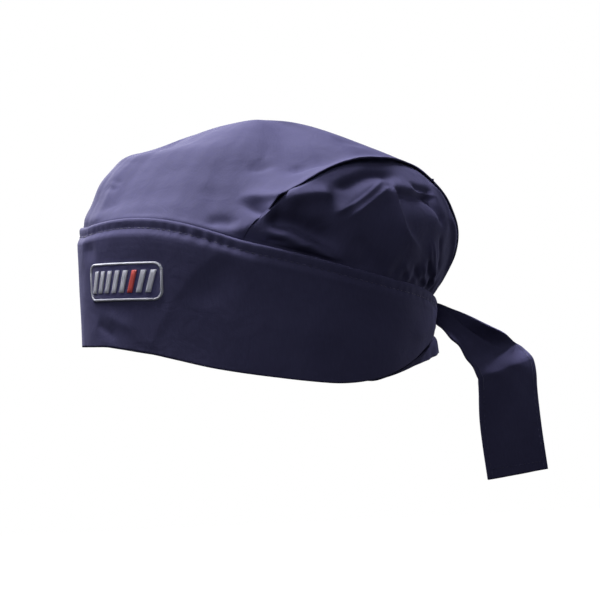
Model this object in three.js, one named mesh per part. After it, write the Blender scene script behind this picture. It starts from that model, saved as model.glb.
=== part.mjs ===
import * as THREE from 'three';

// A soft work cap of plain woven cotton: a deep headband, a crown of three panels
// and a strap knotted at the nape. Millimetres, +Z up, the brow faces -Y and the
// wearer's left ear +X. The origin is the middle of the head opening, level with
// the lower edge of the headband at the brow.

// Headband: half lengths of the outer plan, cloth and how far it leans in below
const BAND_FRONT = 104;
const BAND_BACK = 106.5;
const BAND_SIDE = 82;
const BAND_WALL = 2.2;
const BAND_LEDGE = 2;
const BAND_LEAN_FRONT = 3.2;
const BAND_LEAN_BACK = 1;
const BAND_END = 171;

// Crown: height of its highest point over the origin, cloth and seam turnings
const CROWN_TOP = 132;
const CROWN_WALL = 1.4;
const SEAM_FRONT = 69;
const SEAM_BACK = 165;

// Over each side of the brow the middle panel slopes in from the full round of the
// crown: how far, which way, and the turns between which it does
const SLOPE_IN = 23;
const SLOPE_HEADING = 70;
const SLOPE_START = { left: -24, right: 36 };
const SLOPE_FULL = { left: 34, right: 66 };
const SLOPE_PART = -28;
const SLOPE_FADE = 84;
const SLOPE_END = 122;
const SLOPE_FOOT = 0.92;
const SLOPE_SOFT = 0.09;

// Extra space at the seam where the two panels meet at an angle
const SLOPE_GAP = 1;

// Flap of gathered cloth under the knot
const FLAP_START = 107;
const FLAP_INSET = 4.6;
const FLAP_WALL = 1.4;
const FLAP_PUFF = 8.4;
const FLAP_PUFF_START = 132;
const FLAP_PUFF_FULL = 164;
const FLAP_RIPPLE = 0.8;

// Knot and strap
const KNOT_Y = 108.2;
const KNOT_Z = 21.6;
const KNOT_HALF_WIDTH = 8.5;
const KNOT_HALF_DEPTH = 4.6;
const KNOT_HALF_HEIGHT = 7.4;
const STRAP_WALL = 1.6;

// Patch on the left of the brow
const PATCH_LENGTH = 52;
const PATCH_HEIGHT = 20.4;
const PATCH_MIDDLE = 27.6;
const PATCH_Z = 35.8;
const PATCH_WALL = 0.9;
const PATCH_CORNER = 5;

// Space left between two pieces that touch
const GAP = 0.3;

// Edges of the headband by the turn t from the brow, in degrees. Its lower edge
// hangs less over the right ear than over the left one.
const BAND = [
  { t: 0, top: 67.2, low: 1.2, lowRight: 1.2 },
  { t: 20, top: 69, low: 1.1, lowRight: 1.5 },
  { t: 30, top: 69.5, low: -0.4, lowRight: 1.4 },
  { t: 40, top: 68.8, low: -2.6, lowRight: 1.5 },
  { t: 50, top: 66.2, low: -5.9, lowRight: 0.1 },
  { t: 60, top: 61.7, low: -9.5, lowRight: -1.9 },
  { t: 70, top: 56.5, low: -12.3, lowRight: -4.2 },
  { t: 80, top: 52.6, low: -14.6, lowRight: -7.8 },
  { t: 90, top: 48.9, low: -16.6, lowRight: -11 },
  { t: 100, top: 44.9, low: -17.8, lowRight: -13.8 },
  { t: 110, top: 41.4, low: -16.4, lowRight: -14.8 },
  { t: 120, top: 38.5, low: -12.3, lowRight: -12.2 },
  { t: 130, top: 36.2, low: -6.3, lowRight: -6.2 },
  { t: 140, top: 33.9, low: 0.6, lowRight: 0.8 },
  { t: 150, top: 31.6, low: 6.2, lowRight: 6.4 },
  { t: 160, top: 29.8, low: 11.4, lowRight: 11.4 },
  { t: 170, top: 28.6, low: 14.6, lowRight: 14.6 },
  { t: 180, top: 28, low: 15.4, lowRight: 15.4 },
];

// Lower edge of the flap
const FLAP = [
  { t: 107, low: -15.4 },
  { t: 112, low: -16.9 },
  { t: 120, low: -14.8 },
  { t: 130, low: -11.2 },
  { t: 140, low: -7.6 },
  { t: 150, low: -4.9 },
  { t: 160, low: -2 },
  { t: 172, low: -0.4 },
  { t: 180, low: -0.6 },
];

// Crown by level v from the headband (0) to the highest point (1): distance from
// the middle and share of the rise, at the brow, over the ear and at the nape
const CROWN = [
  { v: 0, front: 97.5, frontRise: 0, side: 77, sideRise: 0, back: 102.5, backRise: 0 },
  { v: 0.11, front: 98.4, frontRise: 0.09, side: 79.5, sideRise: 0.12, back: 112, backRise: 0.115 },
  { v: 0.22, front: 96, frontRise: 0.2, side: 80.3, sideRise: 0.26, back: 118.6, backRise: 0.24 },
  { v: 0.33, front: 91.5, frontRise: 0.37, side: 78.5, sideRise: 0.4, back: 121.4, backRise: 0.35 },
  { v: 0.44, front: 84.4, frontRise: 0.526, side: 74.5, sideRise: 0.53, back: 120, backRise: 0.476 },
  { v: 0.56, front: 76, frontRise: 0.64, side: 67.5, sideRise: 0.66, back: 113, backRise: 0.612 },
  { v: 0.67, front: 60, frontRise: 0.712, side: 56, sideRise: 0.785, back: 97, backRise: 0.742 },
  { v: 0.78, front: 42, frontRise: 0.825, side: 40, sideRise: 0.89, back: 65, backRise: 0.855 },
  { v: 0.89, front: 21, frontRise: 0.935, side: 20, sideRise: 0.97, back: 32, backRise: 0.958 },
  { v: 1, front: 0, frontRise: 1, side: 0, sideRise: 1, back: 0, backRise: 1 },
];

// Seam between the middle panel and a side panel, and how deep the cloth dips there
const SEAM = [
  { t: 69, v: 0, dip: 0.6 },
  { t: 71.2, v: 0.096, dip: 1 },
  { t: 75.1, v: 0.187, dip: 1.4 },
  { t: 79.6, v: 0.268, dip: 2 },
  { t: 89.7, v: 0.394, dip: 2.8 },
  { t: 95.9, v: 0.477, dip: 3.6 },
  { t: 102.9, v: 0.543, dip: 4.4 },
  { t: 110.1, v: 0.585, dip: 4.8 },
  { t: 120.4, v: 0.622, dip: 5 },
  { t: 130, v: 0.645, dip: 5 },
  { t: 140.3, v: 0.653, dip: 4.6 },
  { t: 146, v: 0.635, dip: 4 },
  { t: 151, v: 0.59, dip: 3.4 },
  { t: 155, v: 0.5, dip: 2.8 },
  { t: 159, v: 0.35, dip: 2.2 },
  { t: 162, v: 0.19, dip: 1.6 },
  { t: 165, v: 0, dip: 1 },
];

// Folds and dents of the crown: height over the smooth cloth (below it when
// negative), half width, and the ends and middle of the line that each follows
const FOLDS = [
  { name: 'dent over temple', lift: -4, wide: 9, t0: 76, v0: 0.17, t1: 86, v1: 0.215, t2: 99, v2: 0.09 },
  { name: 'ridge down from seam', lift: 3, wide: 6, t0: 116, v0: 0.53, t1: 105, v1: 0.4, t2: 96, v2: 0.27 },
  { name: 'bulge below seam', lift: 3, wide: 9, t0: 93, v0: 0.36, t1: 101, v1: 0.44, t2: 110, v2: 0.5 },
  { name: 'hollow behind ridge', lift: -3.5, wide: 8, t0: 118, v0: 0.44, t1: 123, v1: 0.42, t2: 131, v2: 0.42 },
  { name: 'ridge at back', lift: 3, wide: 7, t0: 121, v0: 0.54, t1: 129, v1: 0.48, t2: 141, v2: 0.5 },
  { name: 'long crease to nape', lift: 2.5, wide: 5, t0: 117, v0: 0.42, t1: 122, v1: 0.24, t2: 133, v2: 0.12 },
  { name: 'low ridge', lift: 2, wide: 5, t0: 99, v0: 0.15, t1: 111, v1: 0.1, t2: 124, v2: 0.055 },
  { name: 'roll over headband', lift: 2, wide: 5, t0: 75, v0: 0.12, t1: 87, v1: 0.135, t2: 100, v2: 0.035 },
  { name: 'gather beside knot', lift: -2.5, wide: 5, t0: 137, v0: 0.3, t1: 142, v1: 0.16, t2: 149, v2: 0.03 },
  { name: 'gather near knot', lift: -2, wide: 4, t0: 148, v0: 0.3, t1: 153, v1: 0.16, t2: 158, v2: 0.03 },
  { name: 'dent above temple', lift: -2.5, wide: 9, t0: 66, v0: 0.25, t1: 71, v1: 0.27, t2: 77, v2: 0.3 },
  { name: 'dent of middle panel', lift: -2, wide: 8, t0: 75, v0: 0.47, t1: 84, v1: 0.51, t2: 92, v2: 0.56 },
  { name: 'soft ridge on top', lift: 2, wide: 9, t0: 96, v0: 0.74, t1: 110, v1: 0.69, t2: 126, v2: 0.655 },
  { name: 'dent over brow', lift: -2.5, wide: 14, t0: -14, v0: 0.68, t1: 6, v1: 0.69, t2: 28, v2: 0.66 },
  { name: 'crease at brow', lift: 1.6, wide: 5, t0: -2, v0: 0.12, t1: 10, v1: 0.25, t2: 14, v2: 0.36 },
];

// Strap end that hangs beside the camera's view of the left ear: middle of the
// strap, half width and its direction (heading from +Y to +X, tilt above level)
const STRAP_LEFT = [
  { x: 2.8, y: 113.4, z: 22, half: 6, heading: -40, tilt: 79, curl: 1.6 },
  { x: 4, y: 119.8, z: 18.4, half: 8.3, heading: -35, tilt: 54, curl: 1.8 },
  { x: 5.5, y: 128, z: 14, half: 12.7, heading: -27, tilt: 31, curl: 2 },
  { x: 7, y: 136.3, z: 8.6, half: 17.6, heading: -25, tilt: 20, curl: 2 },
  { x: 9, y: 144.3, z: 1.3, half: 21.6, heading: -21, tilt: 15, curl: 1 },
  { x: 10.5, y: 150.6, z: -5.3, half: 22.6, heading: -17, tilt: 13, curl: 0.4 },
  { x: 12, y: 154.2, z: -12, half: 22.2, heading: -12, tilt: 12, curl: 0.4 },
  { x: 12.6, y: 155.4, z: -23, half: 21.6, heading: -8, tilt: 5, curl: 0.6 },
  { x: 12.8, y: 157, z: -40.6, half: 21.4, heading: -4, tilt: 3, curl: 0.8 },
  { x: 12.8, y: 159.2, z: -56.6, half: 21.4, heading: -3, tilt: 3, curl: 0.6 },
  { x: 12.6, y: 162.6, z: -75.2, half: 21.3, heading: -3, tilt: 7, curl: 0.3 },
];

// Second strap end, turned so that it hangs behind the first
const STRAP_RIGHT = [
  { x: -2.8, y: 114.6, z: 22, half: 5, heading: -30, tilt: 78, curl: 1.4 },
  { x: -4.5, y: 123.4, z: 18.4, half: 7.3, heading: -34, tilt: 50, curl: 1.4 },
  { x: -6, y: 133.4, z: 14, half: 11.5, heading: -33, tilt: 28, curl: 1.6 },
  { x: -7.5, y: 143, z: 8.2, half: 16.2, heading: -31, tilt: 18, curl: 1.2 },
  { x: -8.5, y: 151.4, z: 0.6, half: 19.6, heading: -29, tilt: 13, curl: 0.8 },
  { x: -9.5, y: 158, z: -6.4, half: 21.2, heading: -29, tilt: 10, curl: 0.4 },
  { x: -10, y: 161.4, z: -13.6, half: 21.4, heading: -30, tilt: 8, curl: 0.4 },
  { x: -10.3, y: 162.6, z: -24.4, half: 21.2, heading: -30, tilt: 2, curl: 0.5 },
  { x: -10.4, y: 163.8, z: -40.8, half: 21.2, heading: -30, tilt: 0, curl: 0.6 },
  { x: -10.4, y: 165.6, z: -56.4, half: 21.2, heading: -30, tilt: 0, curl: 0.5 },
  { x: -10.2, y: 168.6, z: -72.5, half: 21.2, heading: -30, tilt: 2, curl: 0.3 },
];

const DEGREE = Math.PI / 180;

// Value of one column between the rows of a table, on a smooth curve
function read(table, key, at, column) {
  const last = table.length - 1;
  let i = 0;
  while (i < last - 1 && table[i + 1][key] <= at) {
    i += 1;
  }
  const slope = (k) => (table[k + 1][column] - table[k][column]) / (table[k + 1][key] - table[k][key]);
  const step = (k) => table[k + 1][key] - table[k][key];
  const tangent = (k) => {
    if (k === 0) {
      return slope(0);
    }
    if (k === last) {
      return slope(last - 1);
    }
    return (slope(k - 1) * step(k) + slope(k) * step(k - 1)) / (step(k - 1) + step(k));
  };
  const h = step(i);
  const u = (Math.min(Math.max(at, table[0][key]), table[last][key]) - table[i][key]) / h;
  const rise = u * u * (3 - 2 * u);
  const start = u * (1 - u) * (1 - u) * h * tangent(i);
  const end = u * u * (u - 1) * h * tangent(i + 1);
  return table[i][column] * (1 - rise) + table[i + 1][column] * rise + start + end;
}

// Turn from the brow as a positive angle up to 180
function turn(t) {
  return Math.abs(((t + 540) % 360) - 180);
}

// Level of the seam at a turn
function seamLevel(t) {
  return Math.max(0, read(SEAM, 't', t, 'v'));
}

// Share of the way from one turn to another, eased at both ends
function ease(at, from, to) {
  const u = Math.min(Math.max((at - from) / (to - from), 0), 1);
  return u * u * (3 - 2 * u);
}

// Turn between -180 and 180, and the side of the sloping brow that it is on
function signedTurn(t) {
  return ((((t + 180) % 360) + 360) % 360) - 180;
}

function onLeft(t) {
  return signedTurn(t) > SLOPE_PART;
}

// How far the crown slopes in at a turn and level, from its foot at the seam
function slopeIn(t, v) {
  const at = turn(t);
  const hand = onLeft(t) ? 'left' : 'right';
  const along = onLeft(t) ? signedTurn(t) : at;
  const around = ease(along, SLOPE_START[hand], SLOPE_FULL[hand]) * (1 - ease(at, SLOPE_FADE, SLOPE_END));
  const foot = at < SEAM_FRONT ? 0 : SLOPE_FOOT * seamLevel(at);
  const over = (v - foot) / (1 - foot);
  const soft = SLOPE_SOFT * ease(at, SEAM_FRONT, SEAM_FRONT + 11);
  const up = (Math.hypot(over, soft) + over) / 2;
  return SLOPE_IN * around * Math.min(1, v / 0.04) * Math.max(0, Math.sin(Math.PI * up));
}

// Crown before its folds
function smoothCrown(t, v) {
  const c = Math.cos(t * DEGREE);
  const s = Math.sin(t * DEGREE);
  const lowest = read(BAND, 't', turn(t), 'top');
  const end = c > 0 ? 'front' : 'back';
  const share = c * c * read(CROWN, 'v', v, end + 'Rise') + s * s * read(CROWN, 'v', v, 'sideRise');
  const inwards = slopeIn(t, v);
  const x = read(CROWN, 'v', v, 'side') * s - (onLeft(t) ? 1 : -1) * inwards * Math.sin(SLOPE_HEADING * DEGREE);
  const y = -read(CROWN, 'v', v, end) * c + inwards * Math.cos(SLOPE_HEADING * DEGREE);
  const z = lowest + (CROWN_TOP - lowest) * share;
  return new THREE.Vector3(x, y, z);
}

// Distance from a point to the line through a row of points
function distanceTo(line, point) {
  const near = new THREE.Vector3();
  let least = Infinity;
  for (let i = 0; i + 1 < line.length; i += 1) {
    new THREE.Line3(line[i], line[i + 1]).closestPointToPoint(point, true, near);
    least = Math.min(least, near.distanceTo(point));
  }
  return least;
}

const SEAM_LINE = SEAM.map((row) => smoothCrown(row.t, row.v));

const FOLD_LINES = FOLDS.map((fold) => {
  const bend = new THREE.QuadraticBezierCurve3(
    new THREE.Vector3(fold.t0, fold.v0, 0),
    new THREE.Vector3(2 * fold.t1 - (fold.t0 + fold.t2) / 2, 2 * fold.v1 - (fold.v0 + fold.v2) / 2, 0),
    new THREE.Vector3(fold.t2, fold.v2, 0),
  );
  return bend.getPoints(8).map((at) => smoothCrown(at.x, at.y));
});

// Outward direction of the smooth crown
function outward(t, v) {
  const level = Math.min(Math.max(v, 0.01), 0.985);
  const round = smoothCrown(t + 0.5, level).sub(smoothCrown(t - 0.5, level));
  const up = smoothCrown(t, level + 0.01).sub(smoothCrown(t, level - 0.01));
  return round.cross(up).normalize();
}

// Crown with its folds; the dip at the seam is wider on the side panels
function crown(t, v, dipWidth) {
  const at = smoothCrown(t, v);
  const half = new THREE.Vector3(Math.abs(at.x), at.y, at.z);
  let lift = 0;
  FOLDS.forEach((fold, i) => {
    const far = distanceTo(FOLD_LINES[i], fold.t0 < 0 ? at : half) / fold.wide;
    lift += fold.lift * Math.exp(-far * far);
  });
  const edge = Math.min(Math.max(turn(t), SEAM_FRONT), SEAM_BACK);
  const fromSeam = distanceTo(SEAM_LINE, half) / dipWidth;
  lift -= read(SEAM, 't', edge, 'dip') * Math.exp(-fromSeam * fromSeam);
  const calm = Math.min(1, v / 0.06);
  return at.addScaledVector(outward(t, v), lift * calm);
}

// Cloth under a crown point
function under(t, v, dipWidth) {
  const level = Math.min(Math.max(v, 0.012), 0.985);
  const round = crown(t + 0.6, level, dipWidth).sub(crown(t - 0.6, level, dipWidth));
  const up = crown(t, level + 0.012, dipWidth).sub(crown(t, level - 0.012, dipWidth));
  const inward = round.cross(up).normalize().multiplyScalar(-CROWN_WALL);
  return crown(t, v, dipWidth).add(inward);
}

// Level of a panel edge set back from the seam
function setBack(t, towards) {
  const v = seamLevel(t);
  const perDegree = smoothCrown(t + 0.5, v).distanceTo(smoothCrown(t - 0.5, v));
  const perLevel = smoothCrown(t, v + 0.01).distanceTo(smoothCrown(t, v - 0.01 < 0 ? 0 : v - 0.01)) / 0.02;
  const slope = ((seamLevel(t + 0.25) - seamLevel(t - 0.25)) / 0.5) * (perLevel / perDegree);
  const apart = GAP + SLOPE_GAP * (1 - ease(t, SLOPE_FADE, SLOPE_END));
  return v + towards * (apart / perLevel) * Math.sqrt(1 + slope * slope);
}

// Closed body between an outer and an inner grid of points, both [column][row].
// A round grid closes on itself, and its last row may be a single point.
function clothBody(outer, inner, round, tip) {
  const columns = outer.length;
  const rows = outer[0].length;
  const points = [];
  const faces = [];
  const number = (side, i, j) => {
    const row = tip && j === rows - 1 ? 0 : i % columns;
    return side * columns * rows + row * rows + j;
  };
  [outer, inner].forEach((grid) => grid.forEach((column) => column.forEach((p) => points.push(p.x, p.y, p.z))));
  const span = (a, b) => Math.hypot(...[0, 1, 2].map((k) => points[3 * a + k] - points[3 * b + k]));
  const quad = (a, b, c, d) => {
    if (c === d) {
      faces.push(a, b, c);
    } else if (span(a, c) <= span(b, d)) {
      faces.push(a, b, c, a, c, d);
    } else {
      faces.push(a, b, d, b, c, d);
    }
  };
  const spans = round ? columns : columns - 1;
  for (let i = 0; i < spans; i += 1) {
    for (let j = 0; j + 1 < rows; j += 1) {
      quad(number(0, i, j), number(0, i + 1, j), number(0, i + 1, j + 1), number(0, i, j + 1));
      quad(number(1, i + 1, j), number(1, i, j), number(1, i, j + 1), number(1, i + 1, j + 1));
    }
    quad(number(1, i, 0), number(1, i + 1, 0), number(0, i + 1, 0), number(0, i, 0));
    if (!tip) {
      quad(number(0, i, rows - 1), number(0, i + 1, rows - 1), number(1, i + 1, rows - 1), number(1, i, rows - 1));
    }
  }
  if (!round) {
    for (let j = 0; j + 1 < rows; j += 1) {
      const e = columns - 1;
      quad(number(1, 0, j), number(0, 0, j), number(0, 0, j + 1), number(1, 0, j + 1));
      quad(number(0, e, j), number(1, e, j), number(1, e, j + 1), number(0, e, j + 1));
    }
  }
  const geometry = new THREE.BufferGeometry();
  geometry.setAttribute('position', new THREE.Float32BufferAttribute(points, 3));
  geometry.setIndex(faces);
  return geometry;
}

// Evenly spaced values
function spread(from, to, steps) {
  return Array.from({ length: steps + 1 }, (_, i) => from + ((to - from) * i) / steps);
}

const group = new THREE.Group();

function add(name, geometry, color, roughness) {
  const shown = geometry.toNonIndexed();
  shown.computeVertexNormals();
  const material = new THREE.MeshStandardMaterial({ color, roughness, metalness: 0 });
  const mesh = new THREE.Mesh(shown, material);
  mesh.name = name;
  group.add(mesh);
}

// Headband: wall that leans in towards its lower edge, turned in at the top
function bandPoint(t, inset, z) {
  const c = Math.cos(t * DEGREE);
  const length = c > 0 ? BAND_FRONT : BAND_BACK;
  return new THREE.Vector3((BAND_SIDE - inset) * Math.sin(t * DEGREE), -(length - inset) * c, z);
}

function ledgeInset(t) {
  const c = Math.cos(t * DEGREE);
  const s = Math.sin(t * DEGREE);
  const end = c > 0 ? BAND_FRONT - CROWN[0].front : BAND_BACK - CROWN[0].back;
  return c * c * end + s * s * (BAND_SIDE - CROWN[0].side);
}

function leanInset(t) {
  const c = Math.cos(t * DEGREE);
  return BAND_LEAN_BACK + (BAND_LEAN_FRONT - BAND_LEAN_BACK) * Math.max(0, c) ** 0.7;
}

function bandColumn(t, inner) {
  const top = read(BAND, 't', turn(t), 'top');
  const low = read(BAND, 't', turn(t), t < 0 ? 'lowRight' : 'low');
  const lean = leanInset(t);
  const wall = inner ? BAND_WALL : 0;
  const drop = inner ? BAND_LEDGE : 0;
  const tall = top - low;
  return [
    bandPoint(t, lean + wall, low),
    bandPoint(t, lean * 0.8 + wall, low + tall * 0.35),
    bandPoint(t, lean * 0.3 + wall, low + tall * 0.72),
    bandPoint(t, wall, top - (inner ? 4 : 2.2)),
    bandPoint(t, 1.6 + wall * 0.6, top - 0.5 - drop),
    bandPoint(t, ledgeInset(t) - GAP, top - drop),
  ];
}

const bandTurns = spread(-BAND_END, BAND_END, 74);
const bandOuter = bandTurns.map((t) => bandColumn(t, false));
const bandInner = bandTurns.map((t) => bandColumn(t, true));
add('headband', clothBody(bandOuter, bandInner, false, false), 0x232238, 0.85);

// Middle panel: brow to nape between the two seams, closed at the highest point
function panelEdge(t) {
  const side = turn(t);
  if (side <= SEAM_FRONT || side >= SEAM_BACK) {
    return 0;
  }
  return Math.max(0, setBack(side, 1));
}

const seamTurns = [69.6, 70.6, 72.4, 75.4, 79, 83.5, 89, 94.5, 100, 106, 113, 121, 129, 137, 144, 149.5, 153.5, 157, 160, 162.6, 164.4];
const browTurns = spread(-66, 66, 20);
const napeTurns = [167, 173.5, 180, 186.5, 193];
const middleTurns = [
  ...browTurns,
  ...seamTurns,
  ...napeTurns,
  ...seamTurns.map((t) => 360 - t).reverse(),
];
const middleShares = [0, 0.035, 0.09, 0.17, 0.27, 0.38, 0.5, 0.62, 0.75, 0.88, 1];
const middleDip = 6;
const middleOuter = middleTurns.map((t) => {
  const edge = panelEdge(t);
  return middleShares.map((share) => crown(t, edge + (1 - edge) * share, middleDip));
});
const middleInner = middleTurns.map((t) => {
  const edge = panelEdge(t);
  return middleShares.map((share) => under(t, edge + (1 - edge) * share, middleDip));
});
const peak = smoothCrown(0, 1);
middleOuter.forEach((column) => column.splice(-1, 1, peak.clone()));
middleInner.forEach((column) => column.splice(-1, 1, peak.clone().setZ(CROWN_TOP - CROWN_WALL)));
add('crown_centre_panel', clothBody(middleOuter, middleInner, true, true), 0x5c5a82, 0.85);

// Side panels: headband to seam, mirrored left and right
const sideShares = [0, 0.08, 0.19, 0.32, 0.46, 0.6, 0.74, 0.87, 0.955, 1];
const sideDip = 13;
const sideTurns = [70, ...seamTurns.filter((t) => t > 72 && t < 164), 163.9];
const denseTurns = sideTurns.flatMap((t, i) => (i === 0 ? [t] : [(t + sideTurns[i - 1]) / 2, t]));

function sidePanel(mirror) {
  const grid = (make) =>
    denseTurns.map((t) => sideShares.map((share) => make(t, setBack(t, -1) * share, sideDip)));
  const outer = grid(crown);
  const inner = grid(under);
  if (!mirror) {
    return clothBody(outer, inner, false, false);
  }
  const flip = (columns) => columns.map((column) => column.map((p) => new THREE.Vector3(-p.x, p.y, p.z))).reverse();
  return clothBody(flip(outer), flip(inner), false, false);
}

add('crown_side_panel_left', sidePanel(false), 0x25263c, 0.85);
add('crown_side_panel_right', sidePanel(true), 0x25263c, 0.85);

// Flap: back hem of the crown, gathered under the knot, inside the band's ends. Its
// free edge puffs out below them.
function flapColumn(t, inner) {
  const top = read(BAND, 't', turn(t), 'top') - BAND_LEDGE - 2 * GAP;
  const low = read(FLAP, 't', Math.max(turn(t), FLAP_START), 'low');
  const bandLow = read(BAND, 't', turn(t), 'low');
  const tucked = Math.max(bandLow - 1.8, low + 2);
  const near = Math.min(1, Math.max(0, (turn(t) - FLAP_PUFF_START) / (FLAP_PUFF_FULL - FLAP_PUFF_START)));
  const puff = near * near * (3 - 2 * near) * FLAP_PUFF;
  const ripple = FLAP_RIPPLE * near * Math.cos((180 - turn(t)) * 18 * DEGREE);
  const inset = FLAP_INSET + (inner ? FLAP_WALL : 0);
  return [
    bandPoint(t, inset - puff * 0.85 - ripple, low),
    bandPoint(t, inset - puff - ripple, low + (tucked - low) * 0.5),
    bandPoint(t, inset - puff * 0.07, tucked),
    bandPoint(t, inset, tucked + (top - tucked) * 0.4),
    bandPoint(t, inset, top),
  ];
}

const flapTurns = spread(FLAP_START, 360 - FLAP_START, 40);
const flapOuter = flapTurns.map((t) => flapColumn(t, false));
const flapInner = flapTurns.map((t) => flapColumn(t, true));
add('nape_flap', clothBody(flapOuter, flapInner, false, false), 0x1a1b2c, 0.9);

// Knot: a flat lump with a crease round its middle
const knot = new THREE.SphereGeometry(1, 20, 12);
const knotAt = knot.attributes.position;
for (let i = 0; i < knotAt.count; i += 1) {
  const p = new THREE.Vector3().fromBufferAttribute(knotAt, i);
  const square = (a) => Math.sign(a) * Math.abs(a) ** 0.8;
  const crease = 1 - 0.12 * Math.exp(-((p.x / 0.22) ** 2));
  p.set(square(p.x) * KNOT_HALF_WIDTH, square(p.z) * KNOT_HALF_DEPTH * crease, square(p.y) * KNOT_HALF_HEIGHT * crease);
  knotAt.setXYZ(i, -p.x, KNOT_Y + p.y, KNOT_Z + p.z);
}
add('knot', knot, 0x232238, 0.9);

// Strap end: a flat double cloth, curled a little across its width
function strapBody(table) {
  const rows = table.map((row, i) => ({ ...row, at: i }));
  const along = spread(0, table.length - 1, 22);
  const acrossSteps = spread(-1, 1, 6);
  const frame = (at) => {
    const value = (column) => read(rows, 'at', at, column);
    const heading = value('heading') * DEGREE;
    const tilt = value('tilt') * DEGREE;
    return {
      middle: new THREE.Vector3(value('x'), value('y'), value('z')),
      across: new THREE.Vector3(
        Math.sin(heading) * Math.cos(tilt),
        Math.cos(heading) * Math.cos(tilt),
        Math.sin(tilt),
      ),
      half: value('half'),
      curl: value('curl'),
    };
  };
  const point = (at, u, side) => {
    const here = frame(at);
    const ahead = frame(Math.min(at + 0.05, table.length - 1)).middle;
    const behind = frame(Math.max(at - 0.05, 0)).middle;
    const normal = ahead.sub(behind).cross(here.across).normalize();
    const bulge = here.curl * (1 - u * u) + (side * STRAP_WALL) / 2;
    return here.middle.addScaledVector(here.across, u * here.half).addScaledVector(normal, bulge);
  };
  const top = along.map((at) => acrossSteps.map((u) => point(at, u, 1)));
  const bottom = along.map((at) => acrossSteps.map((u) => point(at, u, -1)));
  return clothBody(top, bottom, false, false);
}

add('tie_left', strapBody(STRAP_LEFT), 0x343452, 0.85);
add('tie_right', strapBody(STRAP_RIGHT), 0x2a2a44, 0.85);

// Patch: thin, rounded, lying on the headband
const perTurn = bandPoint(PATCH_MIDDLE + 0.5, 0, 0).distanceTo(bandPoint(PATCH_MIDDLE - 0.5, 0, 0));
const patchAlong = [-1, -0.975, -0.93, -0.86, -0.7, -0.5, -0.25, 0, 0.25, 0.5, 0.7, 0.86, 0.93, 0.975, 1];

function patchColumn(u, lift) {
  const fromEnd = (1 - Math.abs(u)) * (PATCH_LENGTH / 2);
  const cut = fromEnd < PATCH_CORNER ? PATCH_CORNER - Math.sqrt(PATCH_CORNER ** 2 - (PATCH_CORNER - fromEnd) ** 2) : 0;
  const half = PATCH_HEIGHT / 2 - cut;
  const t = PATCH_MIDDLE + (u * PATCH_LENGTH) / 2 / perTurn;
  const top = read(BAND, 't', turn(t), 'top');
  const low = read(BAND, 't', turn(t), 'low');
  return spread(-1, 1, 4).map((w) => {
    const z = PATCH_Z + w * half;
    const share = (z - low) / (top - low);
    const inset = leanInset(t) * (0.8 - ((share - 0.35) * 0.5) / 0.37);
    return bandPoint(t, inset - lift, z);
  });
}

const patchOuter = patchAlong.map((u) => patchColumn(u, GAP + PATCH_WALL));
const patchInner = patchAlong.map((u) => patchColumn(u, GAP));
add('badge', clothBody(patchOuter, patchInner, false, false), 0x9a9fb4, 0.6);

export default group;
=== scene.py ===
import math

import bmesh
import bpy
import numpy as np
from mathutils import Matrix, Vector


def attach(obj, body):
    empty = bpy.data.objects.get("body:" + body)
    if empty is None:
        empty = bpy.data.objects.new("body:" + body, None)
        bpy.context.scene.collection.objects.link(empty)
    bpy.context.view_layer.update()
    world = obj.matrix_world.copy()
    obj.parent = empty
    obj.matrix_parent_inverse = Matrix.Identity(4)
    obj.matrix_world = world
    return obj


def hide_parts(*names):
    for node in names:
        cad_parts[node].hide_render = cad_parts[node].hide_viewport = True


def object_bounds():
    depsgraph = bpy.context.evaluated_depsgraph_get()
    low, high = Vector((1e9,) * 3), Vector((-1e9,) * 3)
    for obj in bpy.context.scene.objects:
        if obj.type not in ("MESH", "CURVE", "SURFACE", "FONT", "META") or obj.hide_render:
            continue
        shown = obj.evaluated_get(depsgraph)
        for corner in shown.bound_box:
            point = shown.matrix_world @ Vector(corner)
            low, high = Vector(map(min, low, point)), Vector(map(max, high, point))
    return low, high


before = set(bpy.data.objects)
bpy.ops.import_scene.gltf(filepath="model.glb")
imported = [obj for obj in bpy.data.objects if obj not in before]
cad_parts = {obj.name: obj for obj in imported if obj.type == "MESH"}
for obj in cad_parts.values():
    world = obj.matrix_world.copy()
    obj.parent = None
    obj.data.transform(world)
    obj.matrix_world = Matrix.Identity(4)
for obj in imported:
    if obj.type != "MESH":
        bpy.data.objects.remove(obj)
cad_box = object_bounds()


# Crown, middle panel: one piece of navy cotton drill, wide over the brow and narrow
# down the back. It is sewn into the headband in front and to a fuller side panel
# along each curved seam, where its turned edge stands over the side panel's cloth.
MM = 0.001
MERGE = 0.02
CROWN_TOP = cad_box[1][2] / MM

# height of the headband's upper edge against the turn in degrees from the brow
BAND_TOP = (
    (0, 10, 20, 30, 40, 50, 60, 70, 80, 90, 100, 110, 120, 130, 140, 150, 160, 170, 180),
    (
        67.2, 68.1, 69, 69.5, 68.8, 66.2, 61.7, 56.5, 52.6, 48.9,
        44.9, 41.4, 38.5, 36.2, 33.9, 31.6, 29.8, 28.6, 28,
    ),
)

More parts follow.
